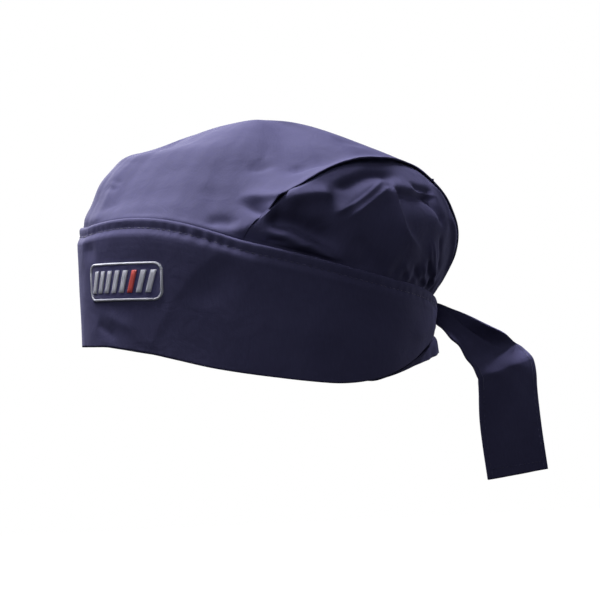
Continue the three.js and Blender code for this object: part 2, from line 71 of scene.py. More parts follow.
# outlines of the crown in front, at the side and behind: how far out it is, and the
# share of its height, at each level from its foot to its top
LEVEL = (0, 0.11, 0.22, 0.33, 0.44, 0.56, 0.67, 0.78, 0.89, 1)
FRONT_OUT = (97.5, 98.4, 96, 91.5, 84.4, 76, 60, 42, 21, 0)
FRONT_RISE = (0, 0.09, 0.2, 0.37, 0.526, 0.64, 0.712, 0.825, 0.935, 1)
SIDE_OUT = (77, 79.5, 80.3, 78.5, 74.5, 67.5, 56, 40, 20, 0)
SIDE_RISE = (0, 0.12, 0.26, 0.4, 0.53, 0.66, 0.785, 0.89, 0.97, 1)
BACK_OUT = (102.5, 112, 118.6, 121.4, 120, 113, 97, 65, 32, 0)
BACK_RISE = (0, 0.115, 0.24, 0.35, 0.476, 0.612, 0.742, 0.855, 0.958, 1)

# seam between the middle and the side panel, and how far its edge stands up
SEAM_TURN = (
    69, 71.2, 75.1, 79.6, 89.7, 95.9, 102.9, 110.1,
    120.4, 130, 140.3, 146, 151, 155, 159, 162, 165,
)
SEAM_LEVEL = (
    0, 0.096, 0.187, 0.268, 0.394, 0.477, 0.543, 0.585,
    0.622, 0.645, 0.653, 0.635, 0.59, 0.5, 0.35, 0.19, 0,
)
SEAM_STEP = (0.1, 0.1, 0.2, 0.3, 0.4, 0.8, 1.6, 2.4, 2.4, 1.6, 0.6, 0.3, 0.2, 0.1, 0, 0, 0)

# level of the foot of the brow's sloping side in front of the seam, its depth and way in
SLOPE_FOOT = ((54, 60, 64, 67, 69, 72, 75.1), (0, 0.006, 0.024, 0.052, 0.08, 0.13, 0.185))
SLOPE_DEPTH = 23
SLOPE_HEADING = math.radians(70)


def smooth_read(xs, ys, at):
    """Value of ys at the places in at, on a smooth curve through the table."""
    xs, ys, at = np.asarray(xs, float), np.asarray(ys, float), np.asarray(at, float)
    h = np.diff(xs)
    slope = np.diff(ys) / h
    tangent = np.empty(len(xs))
    tangent[0], tangent[-1] = slope[0], slope[-1]
    tangent[1:-1] = (slope[:-1] * h[1:] + slope[1:] * h[:-1]) / (h[:-1] + h[1:])
    i = np.clip(np.searchsorted(xs, at, side="right") - 1, 0, len(xs) - 2)
    step = xs[i + 1] - xs[i]
    u = np.clip((at - xs[i]) / step, 0, 1)
    rise = u * u * (3 - 2 * u)
    start = u * (1 - u) ** 2 * step * tangent[i]
    end = u * u * (u - 1) * step * tangent[i + 1]
    return ys[i] * (1 - rise) + ys[i + 1] * rise + start + end


def turn_of(t):
    """Turn from the brow without its side, 0 to 180 degrees."""
    return np.abs((np.asarray(t, float) + 180) % 360 - 180)


def ease(at, start, end):
    """Share that grows smoothly from 0 at the start to 1 at the end."""
    u = np.clip((at - start) / (end - start), 0, 1)
    return u * u * (3 - 2 * u)


def signed(t):
    """Turn from the brow, with the wearer's left side above zero."""
    return (np.asarray(t, float) + 180) % 360 - 180


def on_left(t):
    """Whether a place belongs to the left slope, which reaches past the brow's middle."""
    return signed(t) > -28


def near_top(v, width):
    """Share that fades to nothing at the very top of the crown, so that it is round."""
    return (1 - v) / np.hypot(1 - v, width)


def slope_in(t, v):
    """How far the middle panel slopes in over the sides of the brow, from its foot
    at the seam, in millimetres."""
    at = turn_of(t)
    around = np.where(on_left(t), ease(signed(t), -24, 34), ease(at, 36, 66))
    around *= 1 - ease(at, 84, 122)
    seam = np.clip(smooth_read(SEAM_TURN, SEAM_LEVEL, at), 0, 1)
    foot = np.where(at < SLOPE_FOOT[0][-1], smooth_read(*SLOPE_FOOT, at), 0.99 * seam)
    over = (v - foot) / (1 - foot)
    up = (np.hypot(over, 0.04 * ease(at, 54, 68) - 0.02 * ease(at, 72, 80)) + over) / 2
    start = np.clip(v / 0.02 + 1 - ease(at, 54, 62), 0, 1)
    return SLOPE_DEPTH * around * start * np.clip(np.sin(math.pi * up), 0, 1) * near_top(v, 0.07)


def brow_lean(t):
    """Share of the left half of the brow, where the headband's upper edge leans in."""
    return ease(signed(t), -24, -4) * (1 - ease(signed(t), 64, 77))


def crown_form(t, v):
    """Smooth crown at turn t in degrees from the brow and level v, in millimetres."""
    c, s = np.cos(np.radians(t)), np.sin(np.radians(t))
    low = smooth_read(*BAND_TOP, turn_of(t))
    front = c > 0
    out = np.where(front, smooth_read(LEVEL, FRONT_OUT, v), smooth_read(LEVEL, BACK_OUT, v))
    rise = np.where(front, smooth_read(LEVEL, FRONT_RISE, v), smooth_read(LEVEL, BACK_RISE, v))
    share = c * c * rise + s * s * smooth_read(LEVEL, SIDE_RISE, v)
    share = 1 - (1 - share) * near_top(v, 0.06)
    inwards = slope_in(t, v)
    hand = np.where(on_left(t), 1, -1)
    x = smooth_read(LEVEL, SIDE_OUT, v) * s - hand * inwards * math.sin(SLOPE_HEADING)
    y = -out * c + inwards * math.cos(SLOPE_HEADING)
    return np.stack([x, y, low + (CROWN_TOP - low) * share], -1)


def crown_normal(t, v):
    """Outward direction of the smooth crown."""
    level = np.clip(v, 0.01, 0.985)
    around = crown_form(t + 0.5, level) - crown_form(t - 0.5, level)
    up = crown_form(t, level + 0.01) - crown_form(t, level - 0.01)
    n = np.cross(around, up)
    return n / np.linalg.norm(n, axis=-1, keepdims=True)


def fold(points, normals, path, lift, left, right, power, ends):
    """Height of one fold of the cloth: lift along its line, falling off over the
    widths left and right of it, in millimetres, and fading at its ends."""
    best = np.full(len(points), 1e9)
    along = np.zeros(len(points))
    side = np.zeros(len(points))
    for i in range(len(path) - 1):
        run = path[i + 1] - path[i]
        u = np.clip((points - path[i]) @ run / (run @ run), 0, 1)
        off = points - path[i] - u[:, None] * run
        d = np.linalg.norm(off, axis=1)
        near = d < best
        best = np.where(near, d, best)
        along = np.where(near, (i + u) / (len(path) - 1), along)
        side = np.where(near, np.einsum("ij,ij->i", np.cross(off, run), normals), side)
    width = np.where(side > 0, left, right)
    fade = ease(np.minimum(along, 1 - along), 0, ends)
    return lift * fade * np.exp(-((best / width) ** power))


def trace(marks, steps):
    """Smooth line through the marks of a fold, as its two coordinates."""
    marks = np.asarray(marks, float)
    number = np.arange(len(marks))
    at = np.linspace(0, number[-1], steps)
    return smooth_read(number, marks[:, 0], at), smooth_read(number, marks[:, 1], at)


def fold_line(marks):
    """Line of a fold through its marks (turn, level), as points on the crown."""
    t, v = trace(marks, 14)
    return crown_form(t, np.clip(v, 0, 1))


# folds of the middle panel: marks of the line as (turn, level), lift, widths to the
# right and left of it, sharpness, share over which the ends fade
MIDDLE_FOLDS = (
    (((66, 0.275), (72, 0.27), (78.8, 0.275), (84, 0.275)), 2.6, 2.6, 6, 1.8, 0.4),
    (((65.6, 0.243), (71.2, 0.211), (76.4, 0.176), (80.4, 0.151)), -3.2, 2.6, 3.6, 1.8, 0.4),
    (((56, 0.03), (62.4, 0.087), (68.5, 0.1)), -1.8, 4, 4, 2, 0.35),
    (((80, 0.41), (89, 0.51), (98, 0.575), (108, 0.64)), -3.8, 6, 11, 2, 0.35),
    (((66.8, 0.427), (73.2, 0.457), (80, 0.524)), -1.1, 3, 6, 1.8, 0.35),
    (((80.4, 0.464), (85.6, 0.519), (92.4, 0.571)), 0.7, 3, 5, 1.8, 0.35),
    (((-4, 0.516), (11.2, 0.313), (11.6, 0.124)), 1, 3.5, 9, 1.6, 0.3),
    (((6, 0.32), (11.6, 0.29), (17.6, 0.268)), -0.8, 1.6, 1.8, 1.5, 0.35),
    (((6, 0.357), (13.2, 0.328), (18.8, 0.313)), -0.6, 1.6, 1.8, 1.5, 0.35),
    (((107.6, 0.72), (120, 0.734), (136, 0.737)), -0.9, 5, 6, 2, 0.35),
    (((31.2, 0.35), (42.4, 0.414), (55.2, 0.476)), -0.5, 12, 12, 2, 0.4),
    (((49.6, 0.151), (53.2, 0.265), (59.2, 0.357)), 0.5, 8, 8, 2, 0.4),
    (((-18, 0.69), (4, 0.7), (26, 0.66)), -2, 13, 15, 2, 0.4),
    (((172, 0.06), (176, 0.2), (178, 0.36)), -1.4, 4, 5, 1.6, 0.35),
    (((168, 0.1), (170, 0.25), (171, 0.42)), 1.2, 3, 4, 1.6, 0.35),
    (((185, 0.05), (183, 0.18), (184, 0.3)), 1.3, 3, 4, 1.6, 0.35),
    (((150, 0.72), (165, 0.66), (182, 0.64)), 1.3, 9, 8, 2, 0.4),
    (((-60, 0.1), (-66, 0.22), (-76, 0.3)), -1.4, 6, 6, 1.8, 0.4),
    (((-40, 0.05), (-46, 0.14), (-48, 0.26)), 0.9, 4, 5, 1.6, 0.4),
)


SEAM_TUCK = 1.5


def sewn_in(p, v):
    """Points of a panel with its lowest edge let into the headband's seam."""
    down = SEAM_TUCK * np.clip(1 - v / 0.014, 0, 1)
    return p - np.stack([0 * v, 0 * v, down], -1)


def seam_edge(w):
    """Turn and level of the seam at the shares w of its length."""
    t = np.linspace(SEAM_TURN[0], SEAM_TURN[-1], 400)
    v = np.clip(smooth_read(SEAM_TURN, SEAM_LEVEL, t), 0, 1)
    p = crown_form(t, v)
    run = np.concatenate([[0], np.cumsum(np.linalg.norm(np.diff(p, axis=0), axis=1))])
    run /= run[-1]
    return np.interp(w, run, t), np.interp(w, run, v)


def to_chart(t, v):
    """Flat chart of the crown, with its top in the middle and its foot round it."""
    return np.stack([(1 - v) * np.sin(np.radians(t)), -(1 - v) * np.cos(np.radians(t))], -1)


def from_chart(c):
    """Turn and level of a place on the flat chart."""
    across, back = c[..., 0], c[..., 1]
    return np.degrees(np.arctan2(across, -back)), np.clip(1 - np.hypot(across, back), 0, 1)


SEAM_PATH = crown_form(*seam_edge(np.linspace(0, 1, 60)))


def seam_step(points, t, width):
    """Height of the middle panel's edge over the side panel's, within a width of it."""
    half = points * 1.0
    half[:, 0] = np.abs(half[:, 0])
    best = np.full(len(points), 1e9)
    for i in range(len(SEAM_PATH) - 1):
        run = SEAM_PATH[i + 1] - SEAM_PATH[i]
        u = np.clip((half - SEAM_PATH[i]) @ run / (run @ run), 0, 1)
        best = np.minimum(best, np.linalg.norm(half - SEAM_PATH[i] - u[:, None] * run, axis=1))
    edge = np.clip(turn_of(t), SEAM_TURN[0], SEAM_TURN[-1])
    return (0.9 + smooth_read(SEAM_TURN, SEAM_STEP, edge)) * np.exp(-((best / width) ** 1.6))


def lay_cloth(name, across, along, place, wall, offset=-1):
    """Sheet of cloth from a grid whose points place() puts in millimetres, with its
    flat size as UV in metres. Its wall is turned inwards, or centred by offset 0."""
    bm = bmesh.new()
    bmesh.ops.create_grid(bm, x_segments=across, y_segments=along, size=1)
    bm.verts.ensure_lookup_table()
    uw = np.array([v.co[:2] for v in bm.verts]) * 0.5 + 0.5
    spot = place(uw[:, 0], uw[:, 1]) * MM
    i = np.rint(uw[:, 0] * across).astype(int)
    j = np.rint(uw[:, 1] * along).astype(int)
    net = np.zeros((along + 1, across + 1, 3))
    net[j, i] = spot
    run = np.cumsum(np.linalg.norm(np.diff(net, axis=1), axis=2), axis=1)
    wide = np.concatenate([np.zeros((along + 1, 1)), run], 1)
    wide -= wide[:, [across // 2]]
    steps = np.median(np.linalg.norm(np.diff(net, axis=0), axis=2), axis=1)
    tall = np.concatenate([[0], np.cumsum(steps)])
    for vert, p in zip(bm.verts, spot):
        vert.co = p
    layer = bm.loops.layers.uv.new("cloth")
    for face in bm.faces:
        for loop in face.loops:
            k = loop.vert.index
            loop[layer].uv = (wide[j[k], i[k]], tall[j[k]])
    bmesh.ops.remove_doubles(bm, verts=bm.verts, dist=MERGE * MM)
    bm.normal_update()
    inside = Vector((0, 5, 40)) * MM
    out = sum((f.calc_center_median() - inside).dot(f.normal) * f.calc_area() for f in bm.faces)
    if out < 0:
        bmesh.ops.reverse_faces(bm, faces=bm.faces)
    for face in bm.faces:
        face.smooth = True
    mesh = bpy.data.meshes.new(name)
    bm.to_mesh(mesh)
    bm.free()
    piece = bpy.data.objects.new(name, mesh)
    bpy.context.scene.collection.objects.link(piece)
    thick = piece.modifiers.new("wall", "SOLIDIFY")
    thick.thickness = wall * MM
    thick.offset = offset
    return piece


def ripple(t, v):
    """Slow, shallow unevenness of worn cloth, in millimetres."""
    a = np.sin(0.21 * t + 9 * v) * np.sin(0.13 * t - 14 * v + 1)
    b = np.sin(0.47 * t - 23 * v + 2) * np.sin(0.39 * t + 17 * v)
    return (0.35 * a + 0.16 * b) * ease(1 - v, 0, 0.6)


def full_back(t, v):
    """How far the crown's full back corners sink, in millimetres."""
    return 2.3 * np.exp(-(((turn_of(t) - 128) / 22) ** 2) - (((v - 0.61) / 0.17) ** 2))


def middle_place(u, w):
    """Places of the middle panel, u from right to left and w from the brow to the nape,
    blended on the chart between its four edges."""
    u = u - 0.12 * np.sin(2 * math.pi * u)
    start, end = SEAM_TURN[0], SEAM_TURN[-1]
    front = to_chart(start * (2 * u - 1), 0 * u)
    back = to_chart(180 + (180 - end) * (1 - 2 * u), 0 * u)
    seam_t, seam_v = seam_edge(w)
    left = to_chart(seam_t, seam_v)
    right = left * np.array([-1, 1])
    corners = (-start, start, 360 - end, end)
    front_right, front_left, back_right, back_left = (to_chart(t + 0 * u, 0 * u) for t in corners)
    across, along = u[:, None], w[:, None]
    chart = (1 - along) * front + along * back + across * left + (1 - across) * right
    chart -= (1 - along) * ((1 - across) * front_right + across * front_left)
    chart -= along * ((1 - across) * back_right + across * back_left)
    t, v = from_chart(chart)
    p, n = crown_form(t, v), crown_normal(t, v)
    lift = ripple(t, v)
    for marks, height, left_w, right_w, power, ends in MIDDLE_FOLDS:
        lift += fold(p, n, fold_line(marks), height, left_w, right_w, power, ends)
    lift *= np.clip(v / 0.05, 0, 1) * np.clip((1 - v) / 0.12, 0, 1)
    lift += seam_step(p, t, 3.5) * np.clip(4 * (1 - abs(2 * w - 1)), 0, 1)
    lift -= full_back(t, v)
    flare = (4.6 - 3.4 * brow_lean(t)) * np.clip(1 - v / 0.2, 0, 1) ** 1.5
    flare *= 1 - ease(turn_of(t), 62, 72)
    outward = np.stack([np.sin(np.radians(t)), -np.cos(np.radians(t)), 0 * t], -1)
    return sewn_in(p + n * lift[:, None] + outward * flare[:, None], v)


middle_panel = lay_cloth("middle_panel_cloth", 190, 230, middle_place, 0.9)
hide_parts("crown_centre_panel")
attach(middle_panel, "root")


def weave_group():
    """Node group for cotton drill: fine diagonal ribs, slubs and rubbed high places."""
    group = bpy.data.node_groups.new("drill_weave", "ShaderNodeTree")
    face = group.interface
    face.new_socket("Thread Pitch", in_out="INPUT", socket_type="NodeSocketFloat")
    face.new_socket("Cloth", in_out="INPUT", socket_type="NodeSocketColor")
    face.new_socket("Rubbed", in_out="INPUT", socket_type="NodeSocketColor")
    face.new_socket("Unevenness", in_out="INPUT", socket_type="NodeSocketFloat")
    face.new_socket("Color", in_out="OUTPUT", socket_type="NodeSocketColor")
    face.new_socket("Roughness", in_out="OUTPUT", socket_type="NodeSocketFloat")
    face.new_socket("Height", in_out="OUTPUT", socket_type="NodeSocketFloat")
    nodes, links = group.nodes, group.links
    given = nodes.new("NodeGroupInput")
    result = nodes.new("NodeGroupOutput")
    uv = nodes.new("ShaderNodeUVMap")
    uv.uv_map = "cloth"
    place = nodes.new("ShaderNodeTexCoord")
    size = nodes.new("ShaderNodeMath")
    size.operation = "DIVIDE"
    size.inputs[0].default_value = 1
    links.new(given.outputs["Thread Pitch"], size.inputs[1])
    ribs = nodes.new("ShaderNodeTexWave")
    ribs.wave_type = "BANDS"
    ribs.bands_direction = "DIAGONAL"
    ribs.inputs["Distortion"].default_value = 0.6
    ribs.inputs["Detail"].default_value = 1
    ribs.inputs["Detail Scale"].default_value = 0.4
    links.new(uv.outputs["UV"], ribs.inputs["Vector"])
    links.new(size.outputs[0], ribs.inputs["Scale"])
    slub = nodes.new("ShaderNodeTexNoise")
    slub.inputs["Scale"].default_value = 900
    slub.inputs["Detail"].default_value = 3
    stretch = nodes.new("ShaderNodeMapping")
    stretch.inputs["Scale"].default_value = (1, 0.18, 1)
    links.new(uv.outputs["UV"], stretch.inputs["Vector"])
    links.new(stretch.outputs["Vector"], slub.inputs["Vector"])
    cloud = nodes.new("ShaderNodeTexNoise")
    cloud.inputs["Scale"].default_value = 38
    cloud.inputs["Detail"].default_value = 5
    cloud.inputs["Roughness"].default_value = 0.6
    links.new(place.outputs["Object"], cloud.inputs["Vector"])
    patchy = nodes.new("ShaderNodeMapRange")
    patchy.inputs["From Min"].default_value = 0.35
    patchy.inputs["From Max"].default_value = 0.7
    links.new(cloud.outputs["Fac"], patchy.inputs["Value"])
    amount = nodes.new("ShaderNodeMath")
    amount.operation = "MULTIPLY"
    links.new(patchy.outputs["Result"], amount.inputs[0])
    links.new(given.outputs["Unevenness"], amount.inputs[1])
    rubbed = nodes.new("ShaderNodeMix")
    rubbed.data_type = "RGBA"
    links.new(amount.outputs[0], rubbed.inputs["Factor"])
    links.new(given.outputs["Cloth"], rubbed.inputs["A"])
    links.new(given.outputs["Rubbed"], rubbed.inputs["B"])
    thread = nodes.new("ShaderNodeMapRange")
    thread.inputs["To Min"].default_value = 0.86
    thread.inputs["To Max"].default_value = 1.12
    links.new(slub.outputs["Fac"], thread.inputs["Value"])
    tone = nodes.new("ShaderNodeMix")
    tone.data_type = "RGBA"
    tone.blend_type = "MULTIPLY"
    tone.inputs["Factor"].default_value = 1
    links.new(rubbed.outputs["Result"], tone.inputs["A"])
    links.new(thread.outputs["Result"], tone.inputs["B"])
    links.new(tone.outputs["Result"], result.inputs["Color"])
    rough = nodes.new("ShaderNodeMapRange")
    rough.inputs["To Min"].default_value = 0.72
    rough.inputs["To Max"].default_value = 0.9
    links.new(slub.outputs["Fac"], rough.inputs["Value"])
    links.new(rough.outputs["Result"], result.inputs["Roughness"])
    weft = nodes.new("ShaderNodeMath")
    weft.operation = "MULTIPLY"
    weft.inputs[1].default_value = 0.5
    links.new(slub.outputs["Fac"], weft.inputs[0])
    height = nodes.new("ShaderNodeMath")
    height.operation = "ADD"
    links.new(ribs.outputs["Fac"], height.inputs[0])
    links.new(weft.outputs[0], height.inputs[1])
    links.new(height.outputs[0], result.inputs["Height"])
    return group


drill_weave = weave_group()


NAVY = (0.05, 0.048, 0.112, 1)
NAVY_RUBBED = (0.062, 0.06, 0.132, 1)


def drill(name):
    """Navy cotton drill: woven group, small creases in the bump, a soft sheen."""
    material = bpy.data.materials.new(name)
    material.use_nodes = True
    nodes, links = material.node_tree.nodes, material.node_tree.links
    surface = nodes["Principled BSDF"]
    weave = nodes.new("ShaderNodeGroup")
    weave.node_tree = drill_weave
    weave.inputs["Thread Pitch"].default_value = 1.3 * MM
    weave.inputs["Cloth"].default_value = NAVY
    weave.inputs["Rubbed"].default_value = NAVY_RUBBED
    weave.inputs["Unevenness"].default_value = 0.5
    links.new(weave.outputs["Color"], surface.inputs["Base Color"])
    links.new(weave.outputs["Roughness"], surface.inputs["Roughness"])
    place = nodes.new("ShaderNodeTexCoord")
    creases = nodes.new("ShaderNodeTexNoise")
    creases.inputs["Scale"].default_value = 70
    creases.inputs["Detail"].default_value = 4
    creases.inputs["Roughness"].default_value = 0.5
    creases.inputs["Distortion"].default_value = 0.6
    links.new(place.outputs["Object"], creases.inputs["Vector"])
    soft = nodes.new("ShaderNodeBump")
    soft.inputs["Strength"].default_value = 0.5
    soft.inputs["Distance"].default_value = 1.2 * MM
    links.new(creases.outputs["Fac"], soft.inputs["Height"])
    fine = nodes.new("ShaderNodeBump")
    fine.inputs["Strength"].default_value = 0.2
    fine.inputs["Distance"].default_value = 0.12 * MM
    links.new(weave.outputs["Height"], fine.inputs["Height"])
    links.new(soft.outputs["Normal"], fine.inputs["Normal"])
    links.new(fine.outputs["Normal"], surface.inputs["Normal"])
    surface.inputs["Specular IOR Level"].default_value = 0.12
    surface.inputs["Sheen Weight"].default_value = 0.04
    surface.inputs["Sheen Roughness"].default_value = 0.4
    surface.inputs["Sheen Tint"].default_value = (0.5, 0.5, 1, 1)
    return material


middle_panel.data.materials.append(drill("drill_middle"))


# Crown, side panels: fuller pieces of the same drill, gathered into the headband and
# towards the knot. Folds run down from the seam and fan out of the gathers.
SIDE_FOLDS = (
    (
        ((117.6, 0.536), (110.4, 0.434), (104.4, 0.345), (99.6, 0.283), (95.2, 0.228)),
        2.3, 3.4, 2.6, 1.3, 0.25,
    ),
    (((116.8, 0.466), (111.2, 0.392), (105.6, 0.313), (98.8, 0.213)), 2.2, 2.4, 5, 1.2, 0.25),
    (((75.2, 0.156), (80.4, 0.151), (86.4, 0.151), (92.8, 0.114), (101.2, 0.052)), -6, 3.4, 8, 1.9, 0.25),
    (((73.2, 0.082), (81.2, 0.084), (86.8, 0.06), (93.2, 0.05), (101.2, 0)), 2.8, 3.4, 4.2, 1.7, 0.25),
    (((126, 0.505), (134, 0.5), (142, 0.515)), -2.6, 4, 3, 1.8, 0.3),
    (((80, 0.261), (86, 0.3), (92.4, 0.33), (97.2, 0.34)), 3.2, 4, 5, 1.7, 0.25),
    (((126.8, 0.571), (116.4, 0.533), (110, 0.501), (102, 0.419), (96, 0.37)), -3, 3.6, 4.2, 1.8, 0.25),
    (((114.8, 0.511), (106.4, 0.382), (97.6, 0.258)), -0.8, 1.6, 1.6, 1.6, 0.3),
    (((142.4, 0.578), (146.4, 0.521), (147.6, 0.422), (148.4, 0.308)), 1.1, 2.5, 2, 1.5, 0.3),
    (((132.4, 0.479), (137.6, 0.402), (140.8, 0.298)), -1.4, 3, 3, 1.7, 0.3),
    (((132.4, 0.231), (136.8, 0.136), (149.6, 0.04)), 0.9, 1.2, 1.6, 1.4, 0.3),
    (((75.6, 0.035), (80, 0.055), (84.4, 0.067)), -0.7, 2.2, 2.4, 1.6, 0.3),
    (((83.2, 0.032), (92, 0.087), (96.8, 0.065), (102.4, 0.017)), 1.1, 2, 3, 1.4, 0.3),
    (
        ((116.8, 0.444), (121.2, 0.442), (126.8, 0.449), (134.8, 0.464), (141, 0.476)),
        -3.4, 8, 2.6, 1.4, 0.2,
    ),
    (
        ((116.4, 0.481), (119.2, 0.457), (124.4, 0.459), (134.8, 0.491), (142.8, 0.479)),
        1.4, 2.2, 4, 1.3, 0.2,
    ),
    (
        ((116.8, 0.471), (117.6, 0.409), (118.4, 0.32), (121.2, 0.231), (130.8, 0.156)),
        1.8, 5, 2.2, 1.2, 0.2,
    ),
    (((133.6, 0.256), (137.2, 0.166), (143.2, 0.082), (150.8, 0.027)), 1.4, 1.6, 2, 1.4, 0.3),
    (((133.6, 0.159), (138.8, 0.092), (147.6, 0.017)), -1, 1.4, 1.6, 1.5, 0.3),
    (((132.4, 0.124), (137.2, 0.065), (143.2, 0.012)), 1, 1.4, 1.6, 1.5, 0.3),
    (((127.6, 0.114), (132.8, 0.055), (138, 0.007)), -0.9, 1.8, 1.8, 1.5, 0.3),
    (((138.4, 0.29), (141.2, 0.196), (147.6, 0.094)), -1.2, 2, 2, 1.6, 0.3),
    (((123.2, 0.102), (127.6, 0.05), (131.2, 0.005)), 0.8, 2, 2.4, 1.5, 0.3),
    (((101.6, 0.161), (107.6, 0.104), (115.6, 0.057)), -1, 6, 6, 2, 0.35),
    (((146, 0.42), (151, 0.26), (156, 0.05)), 2, 2.2, 3, 1.5, 0.3),
    (((149, 0.46), (155, 0.28), (159.5, 0.05)), -1.6, 2.2, 2.4, 1.6, 0.3),
)


def side_place(u, w):
    """Places of the left side panel, u along the seam and w up from the headband, with
    its upper edge tucked under the middle panel's."""
    base_t = SEAM_TURN[0] + (SEAM_TURN[-1] - SEAM_TURN[0]) * u
    seam_t, seam_v = seam_edge(u)
    reach = w * 1.05
    chart = (1 - reach)[:, None] * to_chart(base_t, 0 * u) + reach[:, None] * to_chart(seam_t, seam_v)
    t, v = from_chart(chart)
    p, n = crown_form(t, v), crown_normal(t, v)
    lift = 1.2 * ripple(t, v)
    for marks, height, left_w, right_w, power, ends in SIDE_FOLDS:
        lift += fold(p, n, fold_line(marks), height, left_w, right_w, power, ends)
    gather = np.exp(-((v / 0.09) ** 2)) * np.clip((t - 100) / 40, 0, 1)
    lift += gather * 0.7 * np.sin(np.radians(t * 62 + 40 * np.sin(np.radians(t * 17))))
    lift *= np.clip(v / 0.03, 0, 1)
    lift -= 0.5 * ease(reach, 0.94, 1) + full_back(t, v)
    return sewn_in(p + n * lift[:, None], v)


drill_side = drill("drill_side")
for hand, name, node in (
    (1, "left_side_panel_cloth", "crown_side_panel_left"),
    (-1, "right_side_panel_cloth", "crown_side_panel_right"),
):
    panel = lay_cloth(name, 220, 110, lambda u, w: side_place(u, w) * (hand, 1, 1), 1.1)
    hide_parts(node)
    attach(panel, "root")
    panel.data.materials.append(drill_side)


# Headband: doubled drill, 65 mm deep at the brow, turned in at its upper edge and
# topstitched 5 mm under it. Its ends narrow and run back into the knot.
BAND_FRONT, BAND_BACK, BAND_SIDE = 104.0, 106.5, 82.0
BAND_LOW = (
    BAND_TOP[0],
    (
        1.2, 1.2, 1.1, -0.4, -2.6, -5.9, -9.5, -12.3, -14.6, -16.6,
        -17.8, -16.4, -12.3, -6.3, 0.6, 6.2, 11.4, 14.6, 15.4,
    ),
)
BAND_LOW_RIGHT = (
    BAND_TOP[0],
    (
        1.2, 1.3, 1.5, 1.4, 1.5, 0.1, -1.9, -4.2, -7.8, -11,
        -13.8, -14.8, -12.2, -6.2, 0.8, 6.4, 11.4, 14.6, 15.4,
    ),
)
BAND_END = 171.0
STITCH_DROP = 5.4
STRIP_DEEP = 16
STRIP_SHARE = 0.45
WALL_SHARE = 0.93


def band_plan(t, inset):
    """Place in plan on the headband's oval, that far inside it."""
    c, s = np.cos(np.radians(t)), np.sin(np.radians(t))
    length = np.where(c > 0, BAND_FRONT, BAND_BACK)
    return np.stack([(BAND_SIDE - inset) * s, -(length - inset) * c], -1)


def band_edges(t):
    """Heights of the headband's lower and upper edge."""
    top = smooth_read(*BAND_TOP, turn_of(t))
    right = smooth_read(*BAND_LOW_RIGHT, turn_of(t))
    low = np.where(t < 0, right, smooth_read(*BAND_LOW, turn_of(t)))
    return low, top


def band_lean(t, h):
    """How far the headband's wall leans in at the share h of its height, most at the
    lower edge of the brow."""
    return (1 + 2.2 * np.clip(np.cos(np.radians(t)), 0, 1) ** 0.7) * np.clip(1 - h / 0.85, 0, 1) ** 0.8


def strip_depth(tall):
    """Depth of the finely shaped strip under the upper edge, less at the low ends."""
    return STRIP_DEEP * np.minimum(1, tall / 40)


def strip_scale(tall):
    """Scale of the sewn edge, full except where the headband's ends narrow."""
    return np.minimum(1, tall / 24)


# drop below the upper edge and how far in the wall is there, for the sewn edge all
# round and, on top of that, for the left half of the brow
STRIP_DROP = (-0.2, 0.3, 1.2, 2.6, 4.2, 5.4, 6.6, 8.6, 12)
STRIP_IN = (1.3, 0.6, 0.15, 0.1, 0.3, 0.5, 0.25, -0.05, 0)
BROW_DROP = (-0.2, 0.3, 1.5, 3, 5.4, 6.6, 8, 11, 16)
BROW_IN = (3.1, 2.7, 2.4, 2.3, 2, 1.5, 0.85, 0.25, 0)

# folds of the headband: marks of the line as (turn, share of the height from the lower
# edge), then lift, widths, sharpness and fading share as for the crown
BAND_FOLDS = (
    (((66, 0.9), (57, 0.72), (48, 0.42), (41, 0.14), (39, 0.03)), 0.5, 10, 3.5, 1.5, 0.18),
    (((70, 0.86), (62, 0.66), (55, 0.4)), -1.2, 7, 10, 2, 0.35),
    (((3, 0.84), (9, 0.78), (15, 0.8)), -1.1, 5, 6, 1.8, 0.4),
    (((13, 0.2), (19, 0.13), (27, 0.06)), -0.8, 3, 4, 1.6, 0.35),
    (((18, 0.28), (27, 0.2), (36, 0.16)), 0.5, 3, 4, 1.6, 0.35),
    (((96, 0.75), (112, 0.62), (130, 0.52)), -0.8, 9, 9, 2, 0.4),
    (((128, 0.25), (142, 0.32), (156, 0.45)), 0.9, 5, 6, 1.8, 0.35),
    (((146, 0.75), (156, 0.66), (168, 0.55)), -0.8, 2.6, 3, 1.6, 0.3),
    (((148, 0.5), (158, 0.47), (169, 0.45)), 0.7, 2.4, 3, 1.6, 0.3),
    (((75, 0.3), (90, 0.42), (106, 0.38)), 0.7, 12, 12, 2, 0.4),
    (((-30, 0.8), (-45, 0.55), (-58, 0.25)), 0.9, 8, 11, 1.8, 0.35),
    (((-100, 0.7), (-120, 0.5), (-140, 0.4)), -0.8, 8, 9, 2, 0.4),
)


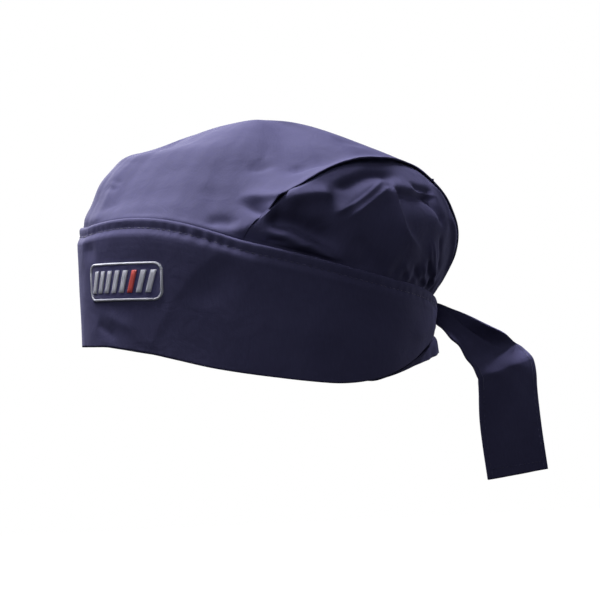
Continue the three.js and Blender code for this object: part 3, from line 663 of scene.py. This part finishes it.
def band_place(u, w):
    """Places of the headband, u from its right end round the brow to its left end. w
    goes up its outer wall, with finer steps on the sewn strip, and over its edge."""
    t = BAND_END * (2 * u - 1)
    low, top = band_edges(t)
    on_wall = w <= WALL_SHARE
    share = np.clip(w / WALL_SHARE, 0, 1)
    tall = top - low
    strip = strip_depth(tall)
    below = share / (1 - STRIP_SHARE)
    drop = np.where(below < 1, tall * (1 - below) + strip * below, strip * (1 - share) / STRIP_SHARE)
    drop = np.maximum(drop, 0)
    scale = strip_scale(tall)
    inset = smooth_read(STRIP_DROP, STRIP_IN, drop / scale) * scale
    inset = np.where(drop / scale > STRIP_DROP[-1], 0, inset)
    brow_in = np.where(drop < BROW_DROP[-1], smooth_read(BROW_DROP, BROW_IN, drop), 0)
    h = 1 - drop / tall
    inset = inset + brow_lean(t) * brow_in + band_lean(t, h)
    z = top - drop
    ledge = np.clip((w - WALL_SHARE) / (1 - WALL_SHARE), 0, 1)
    c, s = np.cos(np.radians(t)), np.sin(np.radians(t))
    reach = c * c * np.where(c > 0, BAND_FRONT - FRONT_OUT[0], BAND_BACK - BACK_OUT[0])
    reach += s * s * (BAND_SIDE - SIDE_OUT[0])
    inset = np.where(on_wall, inset, inset + (reach + 0.5 - inset) * ledge)
    z = np.where(on_wall, z, z - 0.6 * ledge)
    flat = band_plan(t, 0 * t)
    p = np.concatenate([flat, z[:, None]], 1)
    length = np.where(c > 0, BAND_FRONT, BAND_BACK)
    n = np.stack([flat[:, 0] / BAND_SIDE ** 2, flat[:, 1] / length ** 2, 0 * t], -1)
    n /= np.linalg.norm(n, axis=1, keepdims=True)
    lift = 0.28 * np.sin(np.radians(t * 5.1 + 60)) * np.sin(np.radians(h * 250 + t * 2))
    lift += 0.12 * np.sin(np.radians(t * 17 + 200 * h)) * np.sin(np.radians(h * 400 - t * 7))
    for marks, height, left_w, right_w, power, ends in BAND_FOLDS:
        turn, part = trace(marks, 12)
        foot, edge = band_edges(turn)
        path = np.concatenate([band_plan(turn, 0 * turn), (foot + (edge - foot) * part)[:, None]], 1)
        lift += fold(p, n, path, height, left_w, right_w, power, ends)
    pucker = np.exp(-(((drop - 4.8) / 3) ** 2)) * (0.14 + 0.5 * np.exp(-(((t - 57) / 9) ** 2)))
    lift += pucker * np.sin(np.radians(t * 95 + 70 * np.sin(np.radians(t * 23))))
    lift *= np.where(on_wall, 1, 1 - ledge)
    bulge = 2.4 * np.clip((np.abs(t) - 158) / 12, 0, 1) ** 1.5
    spot = band_plan(t, inset)
    spot = spot + n[:, :2] * (lift + bulge)[:, None]
    return np.concatenate([spot, z[:, None]], 1)


STITCH_LONG, STITCH_THICK = 2.3, 0.46


def sew(name, spots, outs, runs, node):
    """Row of stitches on the cloth, each a small rounded bar of thread."""
    half = (STITCH_LONG / 2 * MM, STITCH_THICK / 2 * MM, STITCH_THICK / 2 * MM, 1)
    bm = bmesh.new()
    for spot, out, run in zip(spots, outs, runs):
        z = Vector(out).normalized()
        x = Vector(run).normalized()
        y = z.cross(x).normalized()
        turn = Matrix((x, y, x.cross(y))).transposed().to_4x4()
        place = Matrix.Translation(Vector(spot) * MM) @ turn @ Matrix.Diagonal(half)
        bmesh.ops.create_uvsphere(bm, u_segments=8, v_segments=5, radius=1, matrix=place)
    for face in bm.faces:
        face.smooth = True
    mesh = bpy.data.meshes.new(name)
    bm.to_mesh(mesh)
    bm.free()
    row = bpy.data.objects.new(name, mesh)
    bpy.context.scene.collection.objects.link(row)
    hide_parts(node)
    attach(row, "root")
    row.data.materials.append(stitching)
    return row


def on_cloth(place, u, w, side=1):
    """Points on a cloth with its outward and onward directions there."""
    spot = place(u, w)
    across = place(u + 0.0005, w) - place(u - 0.0005, w)
    up = place(u, w + 0.002) - place(u, w - 0.002)
    out = np.cross(across, up)
    out *= side / np.linalg.norm(out, axis=1, keepdims=True)
    return spot, out, across, up


stitching = bpy.data.materials.new("thread")
stitching.use_nodes = True
thread_surface = stitching.node_tree.nodes["Principled BSDF"]
thread_surface.inputs["Base Color"].default_value = (0.055, 0.054, 0.12, 1)
thread_surface.inputs["Roughness"].default_value = 0.6

headband = lay_cloth("headband_cloth", 480, 84, band_place, 2.0)
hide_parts("headband")
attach(headband, "root")
BAND_STITCHES = 178
u = np.linspace(0.012, 0.988, BAND_STITCHES)
low, top = band_edges(BAND_END * (2 * u - 1))
drop = STITCH_DROP * strip_scale(top - low)
share = 1 - STRIP_SHARE * drop / strip_depth(top - low)
spot, out, across, up = on_cloth(band_place, u, WALL_SHARE * share)
band_stitches = sew("headband_stitches", spot + 0.05 * out, out, across, "headband")
headband.data.materials.append(drill("drill_band"))


# Nape flap: the crown's own back hem, gathered loosely under the knot inside the
# headband's ends, with its free edge puffed out below them.
FLAP_START = 107.0
FLAP_LOW = (
    (107, 112, 120, 130, 140, 150, 160, 172, 180),
    (-15.4, -16.9, -14.8, -11.2, -7.6, -4.9, -2, -0.4, -0.6),
)


def flap_place(u, w):
    """Places of the flap, u round the nape and w up from its free edge."""
    t = FLAP_START + (360 - 2 * FLAP_START) * u
    turn = turn_of(t)
    low = smooth_read(*FLAP_LOW, turn)
    top = smooth_read(*BAND_TOP, turn) - 0.4
    band_low = smooth_read(*BAND_LOW, turn)
    tucked = np.maximum(band_low - 1.8, low + 2)
    near = np.clip((turn - 132) / 32, 0, 1)
    puff = 5.4 * ease(near, 0, 1)
    z = np.where(w < 0.5, low + (tucked - low) * 2 * w, tucked + (top - tucked) * (2 * w - 1))
    out = np.where(w < 0.5, puff * (1 - np.clip(2 * w, 0, 1) ** 7) * (1 - 0.32 * w), 0)
    wave = near * np.sin(np.radians(turn * 21)) * 0.9 + 0.5 * near * np.sin(np.radians(turn * 47 + 30))
    wave = wave * np.clip(1 - 2 * w, 0, 1)
    groove = 2.4 * np.exp(-(((w - 0.48) / 0.09) ** 2))
    return np.concatenate([band_plan(t, 4.6 - out - wave + groove), z[:, None]], 1)


flap = lay_cloth("nape_flap_cloth", 260, 50, flap_place, 1.2)
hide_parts("nape_flap")
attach(flap, "root")
flap.data.materials.append(drill_side)


# Strap ends: flat straps of doubled drill, 43 mm wide, drawn together in the knot.
# They fan out over the first 50 mm and fold over sharply where they start to hang.

# x, y, z of the middle, half width, heading, tilt, curl, place and turn of the fold
STRAP_LEFT = (
    (2.8, 112.6, 22, 6, -40, 79, 0.6, 0.7, 10),
    (4, 119.8, 18.4, 8.3, -35, 54, 0.6, 0.45, 45),
    (5.5, 128, 13.6, 13.4, -30, 32, 0.4, 0.12, 74),
    (7, 136.3, 7.8, 17.2, -28, 18.6, 0.2, 0.14, 81),
    (9, 144.3, -0.6, 20.8, -22, 12.4, 0.2, 0.4, 21),
    (11.4, 149.9, -4.6, 22.4, -18, 14.4, 0.2, 0.4, 0),
    (14.4, 152.7, -9.8, 22.5, -13, 15, 0.2, 0.4, 0),
    (15, 153.7, -12.4, 22.3, -11, 13, 0.2, 0.4, 0),
    (15, 154.1, -17, 22, -9, 8, 0.3, 0.4, 0),
    (14.7, 154.8, -25, 21.6, -8, 4, 0.5, 0.4, 0),
    (14.1, 156.5, -40.6, 21.4, -4, 3, 0.6, 0.4, 0),
    (13.5, 159, -56.6, 21.4, -3, 3, 0.5, 0.4, 0),
    (12.6, 162.6, -75.2, 21.3, -3, 7, 0.3, 0.4, 0),
)
STRAP_RIGHT = (
    (-2.8, 113.6, 22, 5, -30, 78, 0.6, 0.7, 10),
    (-4.5, 123.4, 18.4, 7.3, -34, 50, 0.6, 0.45, 30),
    (-6, 133.4, 14, 11.5, -33, 28, 0.4, 0.3, 30),
    (-7.5, 143, 8.2, 16.2, -31, 18, 0.2, 0.3, 20),
    (-8.5, 151.4, 0.6, 19.6, -29, 13, 0.2, 0.3, 6),
    (-9.4, 157.6, -6, 21.2, -29, 10, 0.2, 0.3, 0),
    (-9.8, 160.6, -11, 21.4, -30, 9, 0.3, 0.3, 0),
    (-10, 161.6, -14.6, 21.4, -30, 8, 0.3, 0.3, 0),
    (-10.3, 162.6, -24.4, 21.2, -30, 2, 0.5, 0.3, 0),
    (-10.4, 163.8, -40.8, 21.2, -30, 0, 0.6, 0.3, 0),
    (-10.4, 165.6, -56.4, 21.2, -30, 0, 0.5, 0.3, 0),
    (-10.2, 168.6, -72.5, 21.2, -30, 2, 0.3, 0.3, 0),
)


def strap_place(table):
    """Places of a strap end, u across it and w from the knot to its free end."""
    columns = np.array(table, float).T
    number = np.arange(len(table))
    last = number[-1]

    def middle_at(at):
        return np.stack([smooth_read(number, column, np.clip(at, 0, last)) for column in columns[:3]], -1)

    def place(u, w):
        at = w * last
        half, heading, tilt, curl, crease, bend = (smooth_read(number, column, at) for column in columns[3:])
        heading, tilt, bend = np.radians(heading), np.radians(tilt), np.radians(bend)
        side = np.stack([np.sin(heading) * np.cos(tilt), np.cos(heading) * np.cos(tilt), np.sin(tilt)], -1)
        n = np.cross(middle_at(at + 0.05) - middle_at(at - 0.05), side)
        n /= np.linalg.norm(n, axis=1, keepdims=True)
        n *= np.where(n[:, [2]] * 2 + n[:, [0]] < 0, -1, 1)
        s = 2 * u - 1
        over = (np.hypot(s - crease, 0.04) + s - crease) / 2
        flat = s - over
        shorter = 1 - 0.3 * np.sin(bend) ** 2
        out = curl * (1 - s * s)
        out += 0.2 * np.sin(3 * s + at * 1.3) + 0.12 * np.sin(7 * s - at * 2.1)
        along_side = flat + over * shorter * np.cos(bend)
        along_out = over * shorter * np.sin(bend)
        return middle_at(at) + side * (along_side * half)[:, None] + n * (out + along_out * half)[:, None]

    return place


STRAP_WALL = 1.4
STITCH_LIFT = STRAP_WALL / 2 + 0.02
drill_strap = drill("drill_strap")
for name, node, table in (
    ("left_strap", "tie_left", STRAP_LEFT),
    ("right_strap", "tie_right", STRAP_RIGHT),
):
    place = strap_place(table)
    strap = lay_cloth(name + "_cloth", 60, 190, place, STRAP_WALL, offset=0)
    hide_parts(node)
    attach(strap, "root")
    spots, outs, runs = [], [], []
    for edge in (0.065, 0.935):
        w = np.linspace(0.4, 0.985, 30)
        for face in (1, -1):
            spot, out, across, up = on_cloth(place, edge + 0 * w, w, face)
            spots.append(spot + STITCH_LIFT * out)
            outs.append(out)
            runs.append(up)
    u = np.linspace(0.1, 0.9, 12)
    for face in (1, -1):
        spot, out, across, up = on_cloth(place, u, 0.975 + 0 * u, face)
        spots.append(spot + STITCH_LIFT * out)
        outs.append(out)
        runs.append(across)
    spots, outs, runs = np.concatenate(spots), np.concatenate(outs), np.concatenate(runs)
    seams = sew(name + "_stitches", spots, outs, runs, node)
    strap.data.materials.append(drill_strap)


# Knot: the two ends of the strap crossed once and pulled tight between the headband's
# ends, a firm lump of folded cloth with a deep crease where they cross.
KNOT_AT = (0.0, 108.2, 21.6)
KNOT_HALF = (8.5, 4.6, 7.4)
bm = bmesh.new()
bmesh.ops.create_uvsphere(bm, u_segments=64, v_segments=40, radius=1)
layer = bm.loops.layers.uv.new("cloth")
for vert in bm.verts:
    x, y, z = vert.co
    crease = 1 - 0.14 * math.exp(-(((x - 0.35 * z) / 0.16) ** 2))
    crease -= 0.08 * math.exp(-(((x + 0.5 * z - 0.4) / 0.12) ** 2))
    crease -= 0.05 * math.sin(9 * z + 4 * x)
    boxy = [math.copysign(abs(c) ** 0.8, c) for c in (x, y, z)]
    size = (KNOT_HALF[0], KNOT_HALF[1] * crease, KNOT_HALF[2] * crease)
    vert.co = Vector([middle + b * half for middle, b, half in zip(KNOT_AT, boxy, size)]) * MM
for face in bm.faces:
    face.smooth = True
    for loop in face.loops:
        loop[layer].uv = (loop.vert.co.x, loop.vert.co.z)
knot_mesh = bpy.data.meshes.new("knot_cloth")
bm.to_mesh(knot_mesh)
bm.free()
knot = bpy.data.objects.new("knot_cloth", knot_mesh)
bpy.context.scene.collection.objects.link(knot)
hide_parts("knot")
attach(knot, "root")
knot.data.materials.append(drill_strap)


# Badge: an embroidered patch sewn to the left of the brow, a dark twill field inside
# a satin-stitched border, with one row of plain slanted bars worked across it.
BADGE_TURN, BADGE_Z = 27.6, 35.8
BADGE_HALF_LONG, BADGE_HALF_HIGH, BADGE_CORNER = 26.0, 10.2, 5.0
BADGE_BORDER = 0.75
BADGE_STEP, CORNER_POINTS = 5.25, 14
BAR_COUNT, BAR_PITCH, BAR_WIDE, BAR_HALF_HIGH, BAR_SLANT = 8, 5.6, 3.1, 5.9, 3.4
BAR_RED = 5


def badge_spot(a, b, lift):
    """Place at a along and b above the badge's middle, lift off the headband."""
    per_degree = np.linalg.norm(band_plan(BADGE_TURN + 0.5, 0) - band_plan(BADGE_TURN - 0.5, 0))
    t = BADGE_TURN + np.asarray(a, float) / per_degree
    z = BADGE_Z + np.asarray(b, float)
    low, top = band_edges(t)
    flat = band_plan(t, band_lean(t, (z - low) / (top - low)) - lift)
    return np.stack([flat[..., 0], flat[..., 1], z], -1)


def along_edges(corners, step):
    """Corners with more points between those that are further apart than a step."""
    corners = np.asarray(corners, float)
    points = []
    for one, two in zip(corners, np.roll(corners, -1, axis=0)):
        count = max(1, round(np.linalg.norm(two - one) / step))
        points += [one + (two - one) * k / count for k in range(count)]
    return np.array(points)


def rounded_outline(inwards):
    """Points round the badge's outline, that far inside it."""
    wide, high = BADGE_HALF_LONG - inwards, BADGE_HALF_HIGH - inwards
    corner = BADGE_CORNER - inwards
    quarter = np.linspace(0, math.pi / 2, CORNER_POINTS)
    points = []
    for k, (x, y) in enumerate(((wide, high), (-wide, high), (-wide, -high), (wide, -high))):
        x, y = x - math.copysign(corner, x), y - math.copysign(corner, y)
        turns = quarter + k * math.pi / 2
        points += [(x + corner * math.cos(a), y + corner * math.sin(a)) for a in turns]
    return along_edges(points, BADGE_STEP)


def loft(bm, rings):
    """Skin extruded from the first ring of points through the others. Returns the edges
    of the last ring."""
    ring = [bm.verts.new(Vector(p) * MM) for p in rings[0]]
    edges = [bm.edges.new(pair) for pair in zip(ring, ring[1:] + ring[:1])]
    for points in rings[1:]:
        made = bmesh.ops.extrude_edge_only(bm, edges=edges)["geom"]
        new = {part for part in made if isinstance(part, bmesh.types.BMVert)}
        ring = [next(e.other_vert(v) for e in v.link_edges if e.other_vert(v) in new) for v in ring]
        for vert, p in zip(ring, points):
            vert.co = Vector(p) * MM
        edges = [part for part in made if isinstance(part, bmesh.types.BMEdge) and new.issuperset(part.verts)]
    return edges


def worked_pad(bm, outline, height):
    """Low pad of satin stitch with a rounded edge, over an outline on the badge."""
    middle = outline.mean(0)
    profile = ((1, 0.5), (1, height - 0.15), (0.96, height), (0.6, height + 0.04), (0.3, height + 0.05))
    rings = []
    for share, lift in profile:
        spot = middle + (outline - middle) * share
        rings.append(badge_spot(spot[:, 0], spot[:, 1], lift))
    bmesh.ops.edgeloop_fill(bm, edges=loft(bm, rings))


def satin_thread(name, colour, pitch):
    """Embroidery thread, with the fine ribs of satin stitch in its bump."""
    material = bpy.data.materials.new(name)
    material.use_nodes = True
    nodes, links = material.node_tree.nodes, material.node_tree.links
    surface = nodes["Principled BSDF"]
    surface.inputs["Base Color"].default_value = (*colour, 1)
    surface.inputs["Roughness"].default_value = 0.5
    surface.inputs["Sheen Weight"].default_value = 0.2
    place = nodes.new("ShaderNodeTexCoord")
    ribs = nodes.new("ShaderNodeTexWave")
    ribs.bands_direction = "Z"
    ribs.inputs["Scale"].default_value = 0.31 / (pitch * MM)
    links.new(place.outputs["Object"], ribs.inputs["Vector"])
    bump = nodes.new("ShaderNodeBump")
    bump.inputs["Strength"].default_value = 0.5
    bump.inputs["Distance"].default_value = 0.2 * MM
    links.new(ribs.outputs["Fac"], bump.inputs["Height"])
    links.new(bump.outputs["Normal"], surface.inputs["Normal"])
    return material


def finish_patch(bm, name, material):
    """Piece of the badge from its mesh."""
    bmesh.ops.remove_doubles(bm, verts=bm.verts, dist=MERGE / 20 * MM)
    bmesh.ops.recalc_face_normals(bm, faces=bm.faces)
    for face in bm.faces:
        face.smooth = True
    mesh = bpy.data.meshes.new(name)
    bm.to_mesh(mesh)
    bm.free()
    piece = bpy.data.objects.new(name, mesh)
    bpy.context.scene.collection.objects.link(piece)
    piece.data.materials.append(material)
    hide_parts("badge")
    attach(piece, "root")


FIELD_LIFT = 0.7
FIELD_PROFILE = [(1, -0.4), (1, 0.45), (0.98, 0.62)]
FIELD_PROFILE += [(share, FIELD_LIFT) for share in (0.9, 0.75, 0.6, 0.45, 0.3, 0.15)]
outer = rounded_outline(0.5)
rings = [badge_spot(outer[:, 0] * share, outer[:, 1] * share, lift) for share, lift in FIELD_PROFILE]
bm = bmesh.new()
bmesh.ops.edgeloop_fill(bm, edges=loft(bm, rings))
finish_patch(bm, "badge_field", satin_thread("badge_twill", (0.04, 0.038, 0.14), 0.6))

bm = bmesh.new()
rings = []
for turn in np.linspace(0, math.pi, 7):
    edge = rounded_outline(BADGE_BORDER * (1 - math.cos(turn)))
    ridge = 0.9 + 0.1 * np.cos(np.arange(len(edge)) * math.pi)
    rings.append(badge_spot(edge[:, 0], edge[:, 1], 0.1 + 1.1 * math.sin(turn) * ridge))
loft(bm, rings)
silver = satin_thread("silver_thread", (0.46, 0.47, 0.56), 0.5)
finish_patch(bm, "badge_border", silver)

for name, chosen, material in (
    ("badge_bars", [k for k in range(BAR_COUNT) if k != BAR_RED], silver),
    ("badge_red_bar", [BAR_RED], satin_thread("red_thread", (0.6, 0.06, 0.05), 0.5)),
):
    bm = bmesh.new()
    for k in chosen:
        x = (k - (BAR_COUNT - 1) / 2) * BAR_PITCH
        half, slant = BAR_WIDE / 2, BAR_SLANT / 2
        bar = (
            (x - half - slant, -BAR_HALF_HIGH),
            (x + half - slant, -BAR_HALF_HIGH),
            (x + half + slant, BAR_HALF_HIGH),
            (x - half + slant, BAR_HALF_HIGH),
        )
        worked_pad(bm, along_edges(bar, 0.8), 1.1)
    finish_patch(bm, name, material)


# Camera: level with the headband's lower edge, at the left side and a little to the
# front, with a long lens.
CAMERA_TURN = math.radians(70)
CAMERA_DISTANCE = 0.85
SENSOR_WIDTH = 36
LENS = 88.884
aim = Vector((8.2, 22.6, 28.5)) * MM
back = Vector((math.sin(CAMERA_TURN), -math.cos(CAMERA_TURN), 0))
camera_data = bpy.data.cameras.new("camera")
camera_data.sensor_width = SENSOR_WIDTH
camera_data.lens = LENS
camera = bpy.data.objects.new("camera", camera_data)
bpy.context.scene.collection.objects.link(camera)
camera.location = back * CAMERA_DISTANCE
camera.rotation_euler = (aim - camera.location).to_track_quat("-Z", "Y").to_euler()
bpy.context.scene.camera = camera


# Studio: a pale floor, a large soft light above, weak lights round the sides and one
# narrow light from behind on the bend of the strap.
def soft_light(name, place, aim_at, size, power, colour):
    """Rectangular lamp at a place in metres, turned to what it lights."""
    data = bpy.data.lights.new(name, "AREA")
    data.shape = "RECTANGLE"
    data.size, data.size_y = size
    data.energy = power
    data.color = colour
    lamp = bpy.data.objects.new(name, data)
    bpy.context.scene.collection.objects.link(lamp)
    lamp.location = place
    lamp.rotation_euler = (Vector(aim_at) - Vector(place)).to_track_quat("-Z", "Y").to_euler()


soft_light("key", (-0.32, -0.46, 1.5), (0, 0, 0.06), (0.9, 0.9), 80, (1, 0.985, 0.985))
soft_light("far", (-1.36, -0.24, 0.8), (0, 0, 0.08), (0.7, 0.7), 22, (1, 0.985, 1))
soft_light("rim", (-0.35, 1.5, -0.3), (0, 0.05, 0.02), (0.8, 1.0), 9, (0.8, 0.8, 1))
soft_light("near", (1.15, -0.75, 0.95), (0, 0, 0.03), (1.2, 1.2), 8.5, (0.95, 0.97, 0.97))

strap_light = bpy.data.lights.new("strap_spot", "SPOT")
strap_light.energy = 60
strap_light.color = (0.84, 0.82, 1)
strap_light.spot_size = math.radians(7)
strap_light.spot_blend = 0.8
strap_light.shadow_soft_size = 0.06
strap_lamp = bpy.data.objects.new("strap_spot", strap_light)
bpy.context.scene.collection.objects.link(strap_lamp)
strap_lamp.location = (-0.19, 0.64, 0.85)
strap_bend = Vector((0.012, 0.147, 0))
strap_lamp.rotation_euler = (strap_bend - strap_lamp.location).to_track_quat("-Z", "Y").to_euler()

FLOOR_HALF, FLOOR_Z = 4, -0.6
bm = bmesh.new()
bmesh.ops.create_grid(bm, x_segments=1, y_segments=1, size=FLOOR_HALF)
bmesh.ops.translate(bm, verts=bm.verts, vec=(0, 0, FLOOR_Z))
floor_mesh = bpy.data.meshes.new("floor")
bm.to_mesh(floor_mesh)
bm.free()
floor = bpy.data.objects.new("floor", floor_mesh)
bpy.context.scene.collection.objects.link(floor)
paper = bpy.data.materials.new("pale_paper")
paper.use_nodes = True
paper_surface = paper.node_tree.nodes["Principled BSDF"]
paper_surface.inputs["Base Color"].default_value = (0.9, 0.9, 0.9, 1)
paper_surface.inputs["Emission Color"].default_value = (1, 1, 1, 1)
paper_surface.inputs["Emission Strength"].default_value = 1
floor.data.materials.append(paper)
floor.visible_diffuse = False
floor.visible_glossy = False

world = bpy.data.worlds.new("studio")
world.use_nodes = True
bpy.context.scene.world = world
tree = world.node_tree
sky = tree.nodes["Background"]
sky.inputs["Color"].default_value = (0.93, 0.97, 1, 1)
sky.inputs["Strength"].default_value = 0.04
seen = tree.nodes.new("ShaderNodeBackground")
seen.inputs["Color"].default_value = (1, 1, 1, 1)
seen.inputs["Strength"].default_value = 1
ray = tree.nodes.new("ShaderNodeLightPath")
blend = tree.nodes.new("ShaderNodeMixShader")
tree.links.new(ray.outputs["Is Camera Ray"], blend.inputs["Fac"])
tree.links.new(sky.outputs[0], blend.inputs[1])
tree.links.new(seen.outputs[0], blend.inputs[2])
tree.links.new(blend.outputs[0], tree.nodes["World Output"].inputs["Surface"])
bpy.context.scene.view_settings.view_transform = "Standard"
